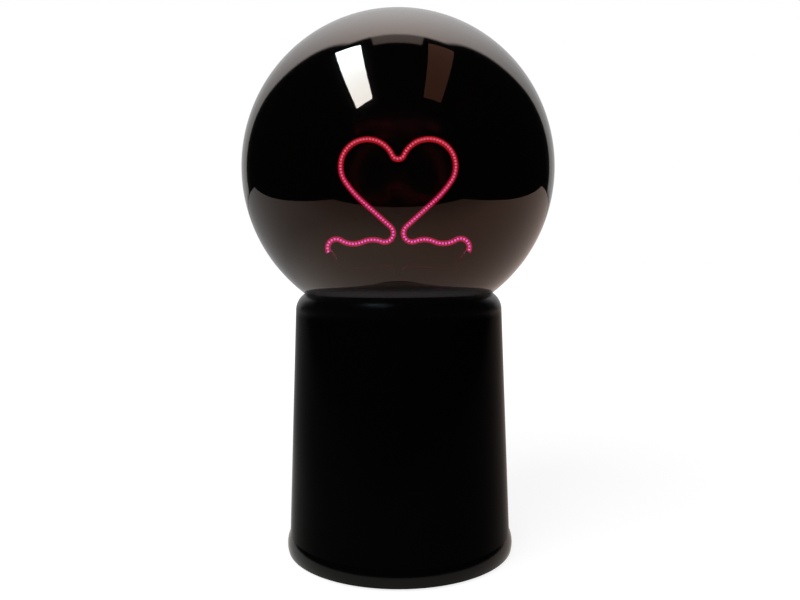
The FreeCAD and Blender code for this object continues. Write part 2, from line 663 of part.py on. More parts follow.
def centre_contact():
    """Sprung tongue under the bulb's button."""
    root = "(live_rivet + rivet_radius)"
    heel = "(live_rivet - 2 * rivet_radius - rivet_head)"
    end = f"({TIP} - contact_gap)"
    tongue = strip("tongue_strip", "XZ_Plane", [
        (root, INSERT_TOP), (root, f"{INSERT_TOP} + tongue_thickness"),
        (heel, f"{INSERT_TOP} + tongue_thickness"), ("rivet_radius", end), ("-tongue_reach", end),
        ("-tongue_reach", f"{end} - tongue_thickness"), ("rivet_radius", f"{end} - tongue_thickness"),
        (heel, INSERT_TOP),
    ], "tongue_width")
    hole = cylinder("tongue_hole", "rivet_radius + pivot_gap", "2 * tongue_thickness", "live_rivet", "0",
                    f"{INSERT_TOP} - tongue_thickness / 2")
    return cut("tongue", tongue, [hole])


def contact_rivets():
    """Rivets from the terminals to the tongue and to the sleeve."""
    rivets = []
    for name, x, thickness in RIVETS:
        top = f"({INSERT_TOP} + {thickness})"
        shank = cylinder(f"rivet_shank_{name}", "rivet_radius", f"{top} - {FLANGE_BOTTOM}",
                         x, "0", FLANGE_BOTTOM)
        head = cylinder(f"rivet_head_{name}", "rivet_radius + rivet_head / 2", "rivet_head", x, "0", top)
        rivets.append(fuse(f"rivet_{name}", [shank, head]))
    return group("rivet_set", rivets)


TERMINAL_FOOT = f"({FLANGE_BOTTOM} - terminal_size)"


def holder_terminals():
    """Brass terminals under the insert."""
    terminals = []
    for side, sign in SIDES:
        cube = block(f"terminal_block_{side}", "terminal_size", "terminal_size", "terminal_size",
                     f"{sign}terminal_offset", "-terminal_size / 2", TERMINAL_FOOT)
        hole = cylinder(f"terminal_hole_{side}", "terminal_screw_radius + pivot_gap", "terminal_size",
                        f"{sign}terminal_offset", "-terminal_size / 2",
                        f"{TERMINAL_FOOT} + terminal_size / 2", "y")
        terminals.append(cut(f"terminal_{side}", cube, [hole]))
    return group("terminal_set", terminals)


def terminal_screws():
    """Screws in the terminals, driven from the front."""
    screws = []
    for side, sign in SIDES:
        x = f"{sign}terminal_offset"
        z = f"{TERMINAL_FOOT} + terminal_size / 2"
        shank = cylinder(f"terminal_shank_{side}", "terminal_screw_radius", "terminal_size",
                         x, "-terminal_size / 2", z, "y")
        head = cylinder(f"terminal_head_{side}", "terminal_head_radius", "terminal_screw_radius",
                        x, "-terminal_size / 2 - terminal_screw_radius", z, "y")
        screws.append(fuse(f"terminal_screw_{side}", [shank, head]))
    return group("terminal_screw_set", screws)


# Electrics in the base
def switch_body():
    """Rocker switch's case: a bezel on the wall and a box behind it, with a well for the rocker."""
    bezel = block("bezel", "bezel_width", "bezel_thickness", "bezel_height",
                  "0", "switch_flat", "switch_height - bezel_height / 2")
    box = block("switch_box", "switch_width", "switch_depth", "switch_length",
                "0", "switch_flat - switch_depth", "switch_height - switch_length / 2")
    well = block("rocker_room", "rocker_width + 2 * fit_gap", "rocker_well", "rocker_length + 3 * fit_gap",
                 "0", "switch_flat + bezel_thickness - rocker_well",
                 "switch_height - (rocker_length + 3 * fit_gap) / 2")
    hole = cylinder("pivot_hole", "pivot_radius + pivot_gap", "switch_width - fit_gap",
                    "(fit_gap - switch_width) / 2", "switch_flat + rocker_pivot", "switch_height", "x")
    return cut("switch_case", fuse("switch_solid", [bezel, box]), [well, hole])


def switch_rocker():
    """Rocker on its pivot pins, tipped to its off side."""
    paddle = strip("rocker_paddle", "YZ_Plane", [
        ("-rocker_belly / 3", "-rocker_length / 2"),
        ("rocker_crown", "-rocker_length / 2"),
        ("rocker_valley", "0"),
        ("rocker_crown", "rocker_length / 2"),
        ("-rocker_belly / 3", "rocker_length / 2"),
        ("-rocker_belly", "rocker_length / 6"),
        ("-rocker_belly", "-rocker_length / 6"),
    ], "rocker_width")
    pins = cylinder("rocker_pins", "pivot_radius", "switch_width - 2 * fit_gap", "fit_gap - switch_width / 2",
                    along="x")
    rocker = fuse("rocker", [paddle, pins])
    rocker.Placement.Rotation = FreeCAD.Rotation(Vector(1, 0, 0), measure("rocker_tilt"))
    rocker.setExpression("Placement.Rotation.Angle", bound("rocker_tilt * 1 deg"))
    return place(rocker, "0", "switch_flat + rocker_pivot", "switch_height")


BLADE_BACK = "(switch_flat - switch_depth)"
LOWER_BLADE = "(switch_height - blade_pitch / 2)"


def switch_terminals():
    """Two blades at the back of the switch."""
    return group("blade_set", [
        block(f"blade_{name}", "blade_width", "blade_length", "blade_thickness", "0",
              f"{BLADE_BACK} - blade_length", f"{height} - blade_thickness / 2")
        for name, height in (("lower", LOWER_BLADE), ("upper", f"({LOWER_BLADE} + blade_pitch)"))])


def cord_bush():
    """Bush through the back wall where a cord goes in."""
    bush = turned("bush_turned", [
        ("cord_bore", "-bush_length"),
        ("bush_radius", "-bush_length"),
        ("bush_radius", "0"),
        ("bush_flange_radius", "0"),
        ("bush_flange_radius", "bush_flange / 2"),
        ("bush_flange_radius - bush_flange / 2", "bush_flange", "bush_flange / 2"),
        ("cord_bore", "bush_flange"),
    ])
    bush.Placement.Rotation = AXES["y"]
    return place(bush, "0", "bush_flat", "cord_height")


def bush_nut():
    """Nut on the bush, inside the wall."""
    y = "(bush_flat - pad_wall - bush_nut_height)"
    blank = hexagon("bush_nut_blank", "bush_nut_flats", "bush_nut_height", "0", y, "cord_height", "y")
    bore = cylinder("bush_nut_bore", "bush_radius + pivot_gap", "bush_nut_height", "0", y, "cord_height", "y")
    return cut("bush_nut_cut", blank, [bore])


CONNECTOR_AXIS = f"({PLATE_TOP} + connector_axis)"
GRIPS = (("near", "(connector_front + grip_inset)"),
         ("far", "(connector_front + connector_length - grip_inset)"))


def connector_block():
    """Insulating block that joins the neutral lead to the cord's core."""
    case = block("connector_case", "connector_width", "connector_length", "connector_height",
                 "-connector_offset", "connector_front", PLATE_TOP)
    tools = [cylinder("connector_passage", "connector_hole", "connector_length", "-connector_offset",
                      "connector_front", CONNECTOR_AXIS, "y")]
    for name, y in GRIPS:
        tools.append(cylinder(f"grip_well_{name}", "grip_radius + screw_gap", "connector_height",
                              "-connector_offset", y, CONNECTOR_AXIS))
    return cut("connector", case, tools)


def connector_barrel():
    """Brass barrel inside the connector block."""
    start = "connector_front + barrel_inset"
    length = "connector_length - 2 * barrel_inset"
    rod = cylinder("barrel_rod", "barrel_radius", length, "-connector_offset", start, CONNECTOR_AXIS, "y")
    tools = [cylinder("barrel_hole", "barrel_bore", length, "-connector_offset", start, CONNECTOR_AXIS, "y")]
    for name, y in GRIPS:
        tools.append(cylinder(f"barrel_tap_{name}", "grip_radius + pivot_gap", "2 * barrel_radius",
                              "-connector_offset", y, CONNECTOR_AXIS))
    return cut("barrel", rod, tools)


def connector_screws():
    """Two screws that grip the wires in the barrel."""
    tip = f"({CONNECTOR_AXIS} + lead_radius + pivot_gap)"
    length = f"{PLATE_TOP} + connector_height - barrel_inset - {tip}"
    return group("grip_set", [cylinder(f"grip_{name}", "grip_radius", length, "-connector_offset", y, tip)
                              for name, y in GRIPS])


LEAD_END = "(terminal_offset - terminal_size / 2 - lead_radius / 2)"
LEAD_TURN = f"({CAVITY_FLOOR} + 2 * lead_radius)"
TERMINAL_MIDDLE = f"({TERMINAL_FOOT} + terminal_size / 2)"


def live_lead():
    """Lead from the switch's lower blade, under the bracket and up the nipple, to the live terminal."""
    level = f"({BALLAST_TOP} + live_height)"
    drop = f"({BLADE_BACK} - blade_length / 2)"
    return solid("live", route("live_lead", [
        spot("lead_spacing", drop, f"{LOWER_BLADE} - blade_thickness / 2"),
        spot("lead_spacing", drop, level),
        spot("lead_spacing", "0", level),
        spot("lead_spacing", "0", LEAD_TURN),
        spot(LEAD_END, "0", TERMINAL_MIDDLE),
    ], measure("lead_radius")))


def neutral_lead():
    """Lead from the connector block, up the nipple, to the neutral terminal."""
    return solid("neutral", route("neutral_lead", [
        spot("-connector_offset", "connector_front + lead_entry", CONNECTOR_AXIS),
        spot("-connector_offset", "connector_front - lead_entry", CONNECTOR_AXIS),
        spot("-lead_spacing", "0", CONNECTOR_AXIS),
        spot("-lead_spacing", "0", LEAD_TURN),
        spot(f"-{LEAD_END}", "0", TERMINAL_MIDDLE),
    ], measure("lead_radius")))


# Bulb
def globe_glass():
    """Blown globe that draws in to a neck along a hollow curve."""
    share = f"/ (globe_radius + {NECK_ROUND})"
    joint = f"(globe_radius * (neck_radius + {NECK_ROUND}) {share})"
    joint_drop = f"(globe_radius * {NECK_DROP} {share})"
    inner_share = "* (globe_radius - glass_wall) / globe_radius"
    return turned("globe_turned", [
        ("neck_radius", NECK),
        (joint, f"{GLOBE} - {joint_drop}", f"-{NECK_ROUND}"),
        ("0", f"{GLOBE} + globe_radius", "globe_radius"),
        ("0", f"{GLOBE} + globe_radius - glass_wall"),
        (f"{joint} {inner_share}", f"{GLOBE} - {joint_drop} {inner_share}", "-(globe_radius - glass_wall)"),
        ("neck_radius - glass_wall", NECK, f"({NECK_ROUND} + glass_wall)"),
    ])


def bulb_cap():
    """Screw cap: a thin shell with a helical ridge, flared to a skirt round the glass neck."""
    skirt = "(neck_radius + fit_gap)"
    inside = "(thread_root - cap_wall)"
    flare = f"({NECK} - cap_flare_height)"
    body = turned("cap_turned", [
        (inside, CAP), ("thread_root", CAP), ("thread_root", flare),
        (f"{skirt} + cap_wall", NECK), (f"{skirt} + cap_wall", f"{NECK} + neck_seat"),
        (skirt, f"{NECK} + neck_seat"), (skirt, NECK), (inside, flare),
    ])
    doc.recompute()
    foot = "(thread_root - cap_wall / 2)"
    ridge = draw_outline(body, "ridge_outline", "XZ_Plane", [
        (foot, f"{THREAD_FOOT} - thread_half_root"), ("thread_root", f"{THREAD_FOOT} - thread_half_root"),
        ("thread_crest", f"{THREAD_FOOT} - thread_half_crest"),
        ("thread_crest", f"{THREAD_FOOT} + thread_half_crest"),
        ("thread_root", f"{THREAD_FOOT} + thread_half_root"), (foot, f"{THREAD_FOOT} + thread_half_root"),
    ])
    thread = body.newObject("PartDesign::AdditiveHelix", "cap_thread")
    thread.Profile = ridge
    thread.ReferenceAxis = (ridge, ["V_Axis"])
    thread.Mode = "pitch-height-angle"
    thread.setExpression("Pitch", bound("thread_pitch"))
    thread.setExpression("Height", bound("thread_pitch * thread_turns"))
    return body


def bulb_insulator():
    """Insulating cone that closes the cap."""
    return turned("insulator_turned", [
        ("0", f"{TIP} + tip_height + swivel_gap"), ("tip_radius", f"{TIP} + tip_height + swivel_gap"),
        ("thread_root - cap_wall / 2", CAP), ("0", CAP),
    ])


def bulb_contact():
    """Contact button under the cap."""
    return turned("contact_turned", [
        ("0", TIP), ("tip_radius - tip_height / 2", TIP), ("tip_radius", f"{TIP} + tip_height / 2"),
        ("tip_radius", f"{TIP} + tip_height"), ("0", f"{TIP} + tip_height"),
    ])


BOARD = f"({TIP} + board_height)"
BOARD_TOP = f"({BOARD} + board_thickness)"
BOARD_RADIUS = "(thread_root - cap_wall - fit_gap)"
STEM_FOOT = f"({TIP} + stem_foot)"
STEM_TOP = f"({GLOBE} - stem_top)"


def driver_board():
    """Round board of the filament's driver, in the cap."""
    return cylinder("board", BOARD_RADIUS, "board_thickness", z=BOARD)


def driver_parts():
    """Capacitor and chip on the driver board."""
    return group("board_parts", [
        cylinder("capacitor", "capacitor_radius", "capacitor_height", f"{BOARD_RADIUS} / 2", "0", BOARD_TOP),
        block("chip", "chip_size", "chip_size", "chip_height",
              f"-{BOARD_RADIUS} / 2", "-chip_size / 2", BOARD_TOP),
    ])


def bulb_stem():
    """Glass stem with a hollow flare that seals the neck, and a rod that carries the wires."""
    flare = "(neck_radius - glass_wall - screw_gap)"
    hollow_top = f"({STEM_FOOT} + stem_rise)"
    return turned("stem_turned", [
        ("0", hollow_top), ("stem_radius - stem_wall", hollow_top), (f"{flare} - stem_wall", STEM_FOOT),
        (flare, STEM_FOOT), ("stem_radius", f"{hollow_top} + stem_wall"), ("stem_radius", STEM_TOP),
        ("0", STEM_TOP),
    ])


def stem_leads():
    """Thin leads from the driver board into the stem's hollow."""
    return group("stem_lead_set", [
        cylinder(f"stem_lead_{side}", "wire_radius", f"{STEM_FOOT} + stem_rise - {BOARD_TOP}",
                 f"{sign}wire_spacing", "0", BOARD_TOP) for side, sign in SIDES])


# Filament sign: one open heart line with two flourish tails, in the plane y = 0
CLEFT_TURN = 66
LOBE_TURN = 190
SIDE_TURN = 14
FLARE_TURN = 160
WAVE_TURNS = (-46, 56)
CURL_TURN = -156


def bend(position, heading, radius, turn):
    """An arc that goes on from a heading in degrees: its three-point halves, its end and its new heading."""
    aside = math.radians(heading + math.copysign(90, turn))
    centre = position + Vector(math.cos(aside), 0, math.sin(aside)) * radius
    spoke = position - centre
    quarters = [FreeCAD.Rotation(Vector(0, -1, 0), turn * share / 4) for share in range(5)]
    steps = [centre + quarter.multVec(spoke) for quarter in quarters]
    return [steps[0:3], steps[2:5]], steps[4], heading + turn


def heart_half():
    """The right half of the line from the cleft to the end of its tail, and the tail's last heading."""
    limit = measure("filament_radius + sign_strand_gap / 2")
    flare = measure("sign_flare_radius")
    stretches = []
    position = Vector(0, 0, 0)
    heading = 0
    for radius, turn in (("sign_cleft_radius", CLEFT_TURN), ("sign_lobe_radius", -LOBE_TURN),
                         ("sign_side_radius", -SIDE_TURN)):
        arcs, position, heading = bend(position, heading, measure(radius), turn)
        stretches += arcs
    slope = math.radians(heading)
    run = (limit + flare + flare * math.sin(slope) - position.x) / math.cos(slope)
    following = position + Vector(math.cos(slope), 0, math.sin(slope)) * run
    stretches.append([position, following])
    position = following
    tail = [(flare, FLARE_TURN)]
    tail += [(measure("sign_wave_radius"), turn) for turn in WAVE_TURNS]
    tail.append((measure("sign_curl_radius"), CURL_TURN))
    for radius, turn in tail:
        arcs, position, heading = bend(position, heading, radius, turn)
        stretches += arcs
    return stretches, math.radians(heading)


def heart_line():
    """The whole line's edges, its right end, and the direction of that end."""
    half, heading = heart_half()
    other = [[Vector(-point.x, 0, point.z) for point in reversed(stretch)] for stretch in reversed(half)]
    stretches = other + half
    heights = [point.z for stretch in stretches for point in stretch]
    shift = Vector(0, 0, measure(f"{GLOBE} - sign_drop") - (max(heights) + min(heights)) / 2)
    edges = []
    for stretch in stretches:
        points = [point + shift for point in stretch]
        curve = Part.LineSegment(*points) if len(points) == 2 else Part.Arc(*points)
        edges.append(curve.toShape())
    return edges, half[-1][-1] + shift, Vector(math.cos(heading), 0, math.sin(heading))


def mirrored(point):
    """The same point on the left."""
    return Vector(-point.x, point.y, point.z)


def least_gap(edges, diameter):
    """Least clear distance of the line to itself, leaving out neighbours along it."""
    spacing = diameter / 4
    points = Part.Wire(edges).discretize(Distance=spacing)
    apart = int(4 * diameter / spacing)
    gaps = [points[first].distanceToPoint(points[second])
            for first in range(len(points)) for second in range(first + apart, len(points))]
    return min(gaps) - diameter


def sign_pieces():
    """Filament, its two end ferrules, and the two wires that carry it on the stem."""
    edges, end, direction = heart_line()
    print(f"led_filament: least gap to itself {least_gap(edges, measure('2 * filament_radius')):.2f}")
    filament = solid("filament", pipe("led_filament", edges, measure("filament_radius")))
    ferrules = []
    wires = []
    far_end = end + direction * measure("ferrule_length")
    for flip in (lambda point: point, mirrored):
        ferrules.append(Part.makeCylinder(measure("ferrule_radius"), measure("ferrule_length"),
                                          flip(end), flip(direction)))
        points = [
            spot("wire_spacing", "0", STEM_TOP),
            spot("wire_spacing", "0", f"{STEM_TOP} + wire_rise"),
            far_end + direction * measure("wire_rise"),
            far_end,
        ]
        wires.append(route("support_wires", [flip(point) for point in points], measure("wire_radius")))
    return filament, solid("ferrules", Part.Compound(ferrules)), solid("wires", Part.Compound(wires))


led_filament, filament_ferrules, support_wires = sign_pieces()
NODES = {
    "base_housing": base_housing(),
    "base_plate": base_plate(),
    "plate_screws": plate_screws(),
    "rubber_feet": rubber_feet(),
    "ballast": ballast(),
    "ballast_screws": ballast_screws(),
    "holder_bracket": holder_bracket(),
    "bracket_screws": bracket_screws(),
    "bracket_nipple": bracket_nipple(),
    "nipple_nut": nipple_nut(),
    "holder_cap": holder_cap(),
    "holder_body": holder_body(),
    "holder_insert": holder_insert(),
    "thread_sleeve": thread_sleeve(),
    "centre_contact": centre_contact(),
    "contact_rivets": contact_rivets(),
    "holder_terminals": holder_terminals(),
    "terminal_screws": terminal_screws(),
    "switch_body": switch_body(),
    "switch_rocker": switch_rocker(),
    "switch_terminals": switch_terminals(),
    "cord_bush": cord_bush(),
    "bush_nut": bush_nut(),
    "connector_block": connector_block(),
    "connector_barrel": connector_barrel(),
    "connector_screws": connector_screws(),
    "live_lead": live_lead(),
    "neutral_lead": neutral_lead(),
    "globe_glass": globe_glass(),
    "bulb_cap": bulb_cap(),
    "bulb_insulator": bulb_insulator(),
    "bulb_contact": bulb_contact(),
    "driver_board": driver_board(),
    "driver_parts": driver_parts(),
    "bulb_stem": bulb_stem(),
    "stem_leads": stem_leads(),
    "support_wires": support_wires,
    "filament_ferrules": filament_ferrules,
    "led_filament": led_filament,
}
doc.recompute()

failed = [thing.Name for thing in doc.Objects if "Invalid" in thing.State or "Error" in thing.State]
for label, thing in NODES.items():
    thing.Label = label
    if thing.Shape.isNull() or not thing.Shape.isValid() or not thing.Shape.Solids:
        failed.append(label)
if failed:
    raise RuntimeError(f"not built: {', '.join(failed)}")

os.makedirs("parts", exist_ok=True)
for thing in NODES.values():
    thing.Shape.exportStep(f"parts/{thing.Label}.step")
print(f"{len(NODES)} nodes written")
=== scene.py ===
"""Looks of the globe lamp: smoked glass, a glowing filament line and a satin black base.

Metres, +Z up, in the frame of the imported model. The front is -Y.
"""
import math

import bpy
from mathutils import Matrix, Vector


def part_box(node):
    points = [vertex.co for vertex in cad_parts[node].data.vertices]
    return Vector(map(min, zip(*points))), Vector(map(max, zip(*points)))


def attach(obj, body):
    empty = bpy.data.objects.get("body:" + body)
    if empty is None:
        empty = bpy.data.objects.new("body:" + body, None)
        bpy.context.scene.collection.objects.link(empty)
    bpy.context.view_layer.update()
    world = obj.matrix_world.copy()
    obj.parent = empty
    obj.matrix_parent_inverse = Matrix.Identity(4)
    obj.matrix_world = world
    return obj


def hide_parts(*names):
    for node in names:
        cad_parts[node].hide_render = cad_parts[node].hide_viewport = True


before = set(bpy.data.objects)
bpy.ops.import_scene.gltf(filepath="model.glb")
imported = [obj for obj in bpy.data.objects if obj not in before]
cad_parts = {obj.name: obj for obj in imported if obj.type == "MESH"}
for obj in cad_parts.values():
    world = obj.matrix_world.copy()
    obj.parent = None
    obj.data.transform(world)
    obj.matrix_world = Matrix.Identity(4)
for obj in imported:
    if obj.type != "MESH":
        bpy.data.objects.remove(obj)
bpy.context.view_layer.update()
MM = 0.001

# Places read from the frame
GLASS_LOW, GLASS_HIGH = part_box("globe_glass")
SIGN_LOW, SIGN_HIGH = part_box("led_filament")

# Glass envelope: a globe with a hollow-curved neck
GLOBE_RADIUS = (GLASS_HIGH.x - GLASS_LOW.x) / 2
GLOBE_CENTRE = GLASS_HIGH.z - GLOBE_RADIUS
NECK_RADIUS = 15.6 * MM
GLASS_WALL = 1.0 * MM
WALL_SOFTNESS = 0.13
NECK_DROP = GLOBE_CENTRE - GLASS_LOW.z
NECK_ROUND = (NECK_RADIUS ** 2 + NECK_DROP ** 2 - GLOBE_RADIUS ** 2) / 2 / (GLOBE_RADIUS - NECK_RADIUS)
GLOBE_STEPS = 110
NECK_STEPS = 26
TURN_STEPS = 200

# Heart line of the sign, as arcs of radius and turn in degrees, right half from the cleft outwards
SIGN_CLEFT = (2.6 * MM, 66)
SIGN_LOBE = (11.0 * MM, -190)
SIGN_SIDE = (44.0 * MM, -14)
SIGN_FLARE = (3.6 * MM, 160)
SIGN_WAVES = ((9.6 * MM, -46), (9.6 * MM, 56))
SIGN_CURL = (3.6 * MM, -156)
STRAND_GAP = 1.8 * MM
FILAMENT_RADIUS = 1.15 * MM
SIGN_DROP = 10.0 * MM
LINE_STEP = 0.35 * MM
COATING_SIDES = 14
CHIP_PITCH = 1.3 * MM
CHIP_RADIUS = 0.52 * MM
CHIP_SHAPE = (0.95, 1.0, 1.0)
CHIP_SEAT = 0.88 * MM
COATING_GLOW = 30.0
CHIP_GLOW = 44.0

# Base: where the polish of its shoulder begins and is full, the band of glass above its rim that carries a
# painted grey reflection of the shoulder, and how strongly its two mouldings mirror
RIM_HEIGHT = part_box("base_housing")[1].z
SHOULDER_LOW = RIM_HEIGHT - 9 * MM
SHOULDER_HIGH = RIM_HEIGHT - 3 * MM
REFLECTION_LOW = RIM_HEIGHT + 0.5 * MM
REFLECTION_HIGH = RIM_HEIGHT + 4.5 * MM
REFLECTION_GREY = 0.15
HOUSING_INDEX = 1.055
PLATE_INDEX = 1.26

# Camera that sees the lamp as the photograph does, in a frame of 800 by 600
CAMERA_PLACE = Vector((0.0006, -0.3128, 0.1199))
CAMERA_PITCH = 0.057
CAMERA_ROLL = 0.0046
CAMERA_LENS = 34.3
CAMERA_SENSOR = 36.0

# Studio
TABLE_CORNERS = ((-0.29, -0.29), (0.29, -0.29), (6.0, 4.3), (6.0, 9.0), (-6.0, 9.0), (-6.0, 4.3))
TABLE_GAP = 0.1 * MM
SWEEP_GLOW = 0.58
OVERHEAD_GLOW = 2.75
BEAM_GLOW = 0.85
ROOM_GLOW = 0.004
FILL_LIGHT = 0.30
SWEEP_HALF_WIDTH = 0.645
SWEEP_TAPER = 1.5
TAPER_START = 0.48
BEAM_HALF_WIDTH = 0.19

# Table: its own tone, what the camera sees near the lamp and far off, and what is mirrored: painted light,
# brighter
# # near the lamp and warm on the right, and painted shade at the front
TABLE_TONE = (0.28, 0.28, 0.28)
SHOWN_NEAR = (0.85, 0.85, 0.85)
SHOWN_FAR = (1.0, 1.0, 1.0)
MIRRORED_NEAR = (0.62, 0.61, 0.57)
MIRRORED_FAR = (0.36, 0.36, 0.36)
MIRRORED_WARM_LIGHT = (0.56, 0.43, 0.37)
MIRRORED_FRONT_SHADE = (0.16, 0.10, 0.08)
UNSEEN = (0.0, 0.0, 0.0)

# Light panels: middle, side across, side along, radiance and colour
SOFT_LIGHT = ((-0.60, -0.80, 1.15), (0.80, -0.60, 0.0), (-0.42, -0.57, -0.71), 4.4, (1.0, 1.0, 1.0))
LEFT_STRIP = ((-0.402, -0.399, 1.028), (0.163, -0.087, 0.162), (0.003, -0.893, -0.276),
              37.0, (0.60, 0.84, 0.97))
RIGHT_STRIP = ((0.391, -0.392, 1.051), (0.207, 0.079, -0.046), (0.060, -0.841, -0.245),
               0.6, (1.0, 0.58, 0.43))


class Wire:
    """A socket of a node tree. Arithmetic on it adds Math nodes."""

    def __init__(self, tree, socket=None):
        self.tree = tree
        self.socket = socket

    def add(self, kind, settings=None, sockets=None, output=0):
        """A new node with its settings made first, then its sockets set or linked; gives one output."""
        node = self.tree.nodes.new(kind)
        for name, value in (settings or {}).items():
            setattr(node, name, value)
        for name, value in (sockets or {}).items():
            if isinstance(value, Wire):
                self.tree.links.new(value.socket, node.inputs[name])
            else:
                node.inputs[name].default_value = value
        return Wire(self.tree, node.outputs[output]) if node.outputs else node

    def math(self, operation, first, second=0.0):
        return self.add("ShaderNodeMath", {"operation": operation}, {0: first, 1: second})

    def __add__(self, other):
        return self.math("ADD", self, other)

    __radd__ = __add__

    def __sub__(self, other):
        return self.math("SUBTRACT", self, other)

    def __rsub__(self, other):
        return self.math("SUBTRACT", other, self)

    def __mul__(self, other):
        return self.math("MULTIPLY", self, other)

    __rmul__ = __mul__

    def part(self, axis):
        """One component of a vector."""
        return self.add("ShaderNodeSeparateXYZ", None, {"Vector": self}, axis)

    def stretched(self, x, y, z):
        """The vector with each component multiplied."""
        return self.add("ShaderNodeVectorMath", {"operation": "MULTIPLY"}, {0: self, 1: (x, y, z)})

    def noise(self, scale, detail=2.0, roughness=0.5):
        """Noise of this vector, from 0 to 1."""
        return self.add("ShaderNodeTexNoise", None,
                        {"Vector": self, "Scale": scale, "Detail": detail, "Roughness": roughness})

    def spread(self, low, high):
        """This value, from 0 to 1, spread between two numbers."""
        return low + self * (high - low)

    def step(self, low, high):
        """0 below the low number, 1 above the high one, smooth between."""
        return self.add("ShaderNodeMapRange", {"interpolation_type": "SMOOTHSTEP"},
                        {"Value": self, "From Min": low, "From Max": high})

    def blend(self, first, second):
        """A colour between two, by this value."""
        return self.add("ShaderNodeMix", {"data_type": "RGBA"}, {0: self, 6: first, 7: second}, 2)

    def bump(self, height, distance, strength=1.0):
        """A normal from a height."""
        return self.add("ShaderNodeBump", None,
                        {"Height": height, "Distance": distance, "Strength": strength})


def solid_colour(red, green, blue):
    return (red, green, blue, 1.0)


def new_material(name):
    """A material with an empty Principled shader, and the wire to build on."""
    material = bpy.data.materials.new(name)
    material.use_nodes = True
    shader = material.node_tree.nodes["Principled BSDF"]
    return material, shader, Wire(material.node_tree)


def plug(shader, sockets):
    """Set or link the shader's sockets."""
    for name, value in sockets.items():
        if isinstance(value, Wire):
            shader.id_data.links.new(value.socket, shader.inputs[name])
        else:
            shader.inputs[name].default_value = value


def on_object(wire):
    """Object coordinates."""
    return wire.add("ShaderNodeTexCoord", None, None, "Object")


# Materials
def satin_black(name, index):
    """Black moulding of the base: fine satin grain, faint mottling, handling marks, a polished shoulder."""
    material, shader, wire = new_material(name)
    place = on_object(wire)
    grain = place.noise(2600.0, 2.0, 0.6)
    mottle = place.noise(70.0, 4.0, 0.6)
    marks = place.stretched(1.0, 1.0, 0.18).noise(310.0, 3.0, 0.7).step(0.66, 0.78)
    polish = place.part(2).step(SHOULDER_LOW, SHOULDER_HIGH)
    plug(shader, {
        "Base Color": mottle.blend(solid_colour(0.0008, 0.0008, 0.0009),
                                   solid_colour(0.0014, 0.0014, 0.0016)),
        "Roughness": mottle.spread(0.12, 0.16) + grain * 0.05 + marks * 0.06,
        "IOR": index,
        "Coat Weight": polish * 0.7,
        "Coat Roughness": 0.35,
        "Normal": wire.bump(grain * 0.7 + mottle * 0.6, 0.00003, 0.5),
    })
    return material


def moulded(name, dark, light, roughness, grain_scale, index=1.46):
    """A moulded plastic or rubber piece between two near colours, with a fine grain."""
    material, shader, wire = new_material(name)
    place = on_object(wire)
    grain = place.noise(grain_scale, 3.0, 0.6)
    cloud = place.noise(120.0, 3.0)
    plug(shader, {
        "Base Color": cloud.blend(dark, light),
        "Roughness": grain.spread(roughness - 0.06, roughness + 0.06),
        "IOR": index,
        "Normal": wire.bump(grain, 0.00004, 0.6),
    })
    return material


def plain_metal(name, dull, bright, roughness, lay):
    """A metal with fine marks drawn out along its lay, and duller patches."""
    material, shader, wire = new_material(name)
    place = on_object(wire)
    lines = place.stretched(*lay).noise(900.0, 4.0, 0.65)
    patches = place.noise(160.0, 3.0)
    plug(shader, {
        "Base Color": patches.blend(dull, bright),
        "Metallic": 1.0,
        "Roughness": lines.spread(roughness - 0.1, roughness + 0.1) + patches * 0.06,
        "Normal": wire.bump(lines, 0.00002, 0.5),
    })
    return material


def smoked_glass():
    """Dark brown-grey glass: polished outside, softer inside, a painted grey reflection of the base's
    shoulder near the rim, a little clear.
    """
    material, shader, wire = new_material("smoked_glass_wall")
    place = on_object(wire)
    waves = place.noise(26.0, 2.0)
    dust = place.noise(1500.0, 2.0, 0.7).step(0.70, 0.80)
    smoke = place.noise(18.0, 3.0)
    tint = smoke.blend(solid_colour(0.0004, 0.0003, 0.0003), solid_colour(0.0007, 0.0005, 0.0004))
    # Painted reflection: the glass at and below the base's rim is grey, standing in for the mirrored
    # shoulder of the base
    shoulder_reflection = 1 - place.part(2).step(REFLECTION_LOW, REFLECTION_HIGH)
    depth = place.add("ShaderNodeVectorMath", {"operation": "DISTANCE"},
                      {0: place, 1: (0, 0, GLOBE_CENTRE)}, "Value")
    inside = 1 - depth.step(GLOBE_RADIUS - 0.7 * GLASS_WALL, GLOBE_RADIUS - 0.3 * GLASS_WALL)
    plug(shader, {
        "Base Color": shoulder_reflection.blend(tint, solid_colour(REFLECTION_GREY, REFLECTION_GREY, REFLECTION_GREY)),
        "Roughness": 0.008 + dust * 0.04 + inside * WALL_SOFTNESS,
        "IOR": 1.52,
        "Specular Tint": solid_colour(1.0, 0.66, 0.52),
        "Alpha": smoke.spread(0.855, 0.865),
        "Normal": wire.bump(waves, 0.00012, 0.10),
    })
    return material


def clear_glass():
    """Clear glass of the stem, with drawn striae."""
    material, shader, wire = new_material("clear_glass_stem")
    place = on_object(wire)
    striae = place.stretched(1.0, 1.0, 0.05).noise(900.0, 3.0)
    plug(shader, {
        "Base Color": striae.blend(solid_colour(0.55, 0.60, 0.60), solid_colour(0.70, 0.74, 0.74)),
        "Roughness": striae.spread(0.02, 0.08),
        "IOR": 1.5,
        "Alpha": striae.spread(0.16, 0.30),
        "Normal": wire.bump(striae, 0.00005, 0.3),
    })
    return material


